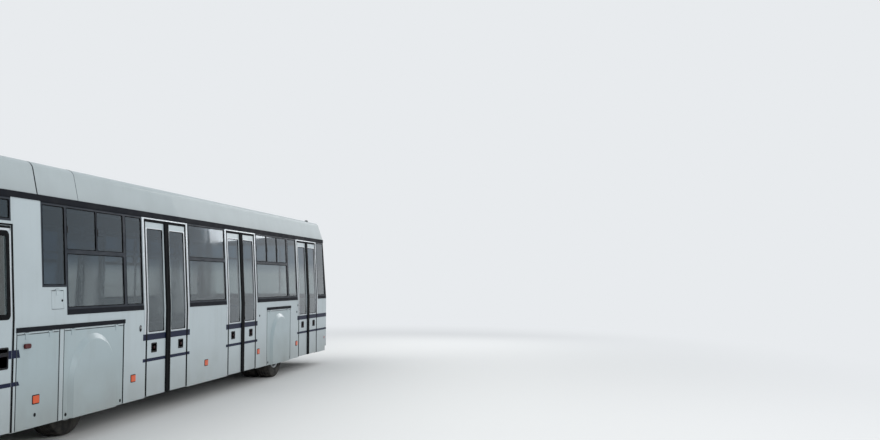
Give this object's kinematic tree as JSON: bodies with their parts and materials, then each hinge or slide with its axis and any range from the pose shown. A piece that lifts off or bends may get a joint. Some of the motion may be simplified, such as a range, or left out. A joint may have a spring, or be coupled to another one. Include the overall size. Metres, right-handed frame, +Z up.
{
  "type": "airport passenger bus",
  "caption": "Low-floor airport apron bus with wide double doors along both sides, wheels behind hinged skirt flaps, glazed saloon and a driver's cab at the front.",
  "frame": {"origin": "on the ground below the middle of the bus", "axes": "+X forward, +Y to the left, +Z up"},
  "size_m": [13.82, 3.59, 3.182],
  "materials": {
    "white_paint": "satin",
    "roof_paint": "satin",
    "dark_frame": "satin",
    "grey_steel": "matt",
    "silver": "brushed",
    "forged": "rough",
    "rim_steel": "satin",
    "rubber": "matt",
    "tyre": "matt",
    "tinted_glass": "clear",
    "floor_cover": "speckled",
    "lining": "smooth",
    "grey_lining": "smooth",
    "black_plastic": "textured",
    "seat_shell": "smooth",
    "driver_cloth": "woven",
    "rail_steel": "brushed",
    "lamp_clear": "clear",
    "lamp_red": "gloss",
    "lamp_amber": "gloss"
  },
  "bodies": {
    "coach": {"chassis_frame": "grey_steel", "front_frame": "grey_steel", "floor_deck": "floor_cover", "front_podium": "floor_cover", "side_wall_left": "white_paint", "side_wall_right": "white_paint", "roof_shell": "roof_paint", "roof_nose": "roof_paint", "ceiling": "lining", "front_cap": "white_paint", "rear_cap": "white_paint", "rear_frame": "dark_frame", "bumpers": "white_paint", "end_glass": "tinted_glass", "window_frames": "black_plastic", "side_glass": "tinted_glass", "door_portals": "silver", "door_leaves_left": "white_paint", "door_leaves_right": "white_paint", "door_rubbers": "rubber", "rubber_strips": "black_plastic", "front_axle": "forged", "rear_trailing_arms": "forged", "air_springs": "rubber", "engine_block": "forged", "fuel_tank": "grey_steel", "front_grille": "black_plastic", "headlamps": "lamp_clear", "tail_lamps": "lamp_red", "side_markers": "lamp_amber", "mirrors": "black_plastic", "cab_partition": "grey_lining", "roof_hatches": "roof_paint", "passenger_seats": "seat_shell", "grab_rails": "rail_steel", "driver_seat": "driver_cloth", "dashboard": "black_plastic", "steering_wheel": "black_plastic"},
    "driver_door_left_body": {"driver_door_left": "white_paint", "driver_door_glass_left": "tinted_glass"},
    "driver_door_right_body": {"driver_door_right": "white_paint", "driver_door_glass_right": "tinted_glass"},
    "front_service_flap_left_body": {"front_service_flap_left": "white_paint"},
    "front_service_flap_right_body": {"front_service_flap_right": "white_paint"},
    "front_wheel_flap_left_body": {"front_wheel_flap_left": "white_paint"},
    "front_wheel_flap_right_body": {"front_wheel_flap_right": "white_paint"},
    "filler_flap_body": {"filler_flap": "white_paint"},
    "rear_wheel_flap_left_body": {"rear_wheel_flap_left": "white_paint"},
    "rear_wheel_flap_right_body": {"rear_wheel_flap_right": "white_paint"},
    "knuckle_left_body": {"knuckle_left": "forged"},
    "knuckle_right_body": {"knuckle_right": "forged"},
    "tie_rod_body": {"tie_rod": "forged"},
    "front_left_wheel": {"front_left_tyre": "tyre", "front_left_rim": "rim_steel"},
    "front_right_wheel": {"front_right_tyre": "tyre", "front_right_rim": "rim_steel"},
    "rear_left_wheels": {"rear_left_tyres": "tyre", "rear_left_rims": "rim_steel"},
    "rear_right_wheels": {"rear_right_tyres": "tyre", "rear_right_rims": "rim_steel"}
  },
  "joints": [
    {"name": "driver_door_left_hinge", "type": "hinge", "parent": "coach", "child": "driver_door_left_body", "pos_m": [6.433, 1.504, 0.865], "axis": [0, 0, -1], "range_deg": [0, 75]},
    {"name": "front_service_flap_left_hinge", "type": "hinge", "parent": "coach", "child": "front_service_flap_left_body", "pos_m": [5.13, 1.504, 1.27], "axis": [1, 0, 0], "range_deg": [0, 80]},
    {"name": "front_wheel_flap_left_hinge", "type": "hinge", "parent": "coach", "child": "front_wheel_flap_left_body", "pos_m": [3.895, 1.504, 1.27], "axis": [1, 0, 0], "range_deg": [0, 80]},
    {"name": "rear_wheel_flap_left_hinge", "type": "hinge", "parent": "coach", "child": "rear_wheel_flap_left_body", "pos_m": [-3.26, 1.504, 1.27], "axis": [1, 0, 0], "range_deg": [0, 80]},
    {"name": "steering_left", "type": "hinge", "parent": "coach", "child": "knuckle_left_body", "pos_m": [3.94, 0.93, 0.48], "axis": [0, 0, 1], "range_deg": [-40, 40]},
    {"name": "front_left_wheel_spin", "type": "hinge", "parent": "knuckle_left_body", "child": "front_left_wheel", "pos_m": [3.94, 1.06, 0.48], "axis": [0, 1, 0], "continuous": true},
    {"name": "rear_left_wheel_spin", "type": "hinge", "parent": "coach", "child": "rear_left_wheels", "pos_m": [-3.29, 1.13, 0.48], "axis": [0, 1, 0], "continuous": true},
    {"name": "driver_door_right_hinge", "type": "hinge", "parent": "coach", "child": "driver_door_right_body", "pos_m": [6.433, -1.504, 0.865], "axis": [0, 0, 1], "range_deg": [0, 75]},
    {"name": "front_service_flap_right_hinge", "type": "hinge", "parent": "coach", "child": "front_service_flap_right_body", "pos_m": [5.13, -1.504, 1.27], "axis": [-1, 0, 0], "range_deg": [0, 80]},
    {"name": "front_wheel_flap_right_hinge", "type": "hinge", "parent": "coach", "child": "front_wheel_flap_right_body", "pos_m": [3.895, -1.504, 1.27], "axis": [-1, 0, 0], "range_deg": [0, 80]},
    {"name": "rear_wheel_flap_right_hinge", "type": "hinge", "parent": "coach", "child": "rear_wheel_flap_right_body", "pos_m": [-3.26, -1.504, 1.27], "axis": [-1, 0, 0], "range_deg": [0, 80]},
    {"name": "steering_right", "type": "hinge", "parent": "coach", "child": "knuckle_right_body", "pos_m": [3.94, -0.93, 0.48], "axis": [0, 0, 1], "range_deg": [-40, 40]},
    {"name": "front_right_wheel_spin", "type": "hinge", "parent": "knuckle_right_body", "child": "front_right_wheel", "pos_m": [3.94, -1.06, 0.48], "axis": [0, 1, 0], "continuous": true},
    {"name": "rear_right_wheel_spin", "type": "hinge", "parent": "coach", "child": "rear_right_wheels", "pos_m": [-3.29, -1.13, 0.48], "axis": [0, 1, 0], "continuous": true},
    {"name": "filler_flap_hinge", "type": "hinge", "parent": "coach", "child": "filler_flap_body", "pos_m": [4.7525, 1.48927, 1.71821], "axis": [1, 0, 0], "range_deg": [0, 110]},
    {"name": "tie_rod_pivot", "type": "hinge", "parent": "knuckle_left_body", "child": "tie_rod_body", "pos_m": [3.79, 0.93, 0.34], "axis": [0, 0, 1], "range_deg": [-40, 40]}
  ],
  "couplings": [
    {"joint": "steering_right", "follows": "steering_left", "ratio": 1},
    {"joint": "tie_rod_pivot", "follows": "steering_left", "ratio": -1}
  ]
}
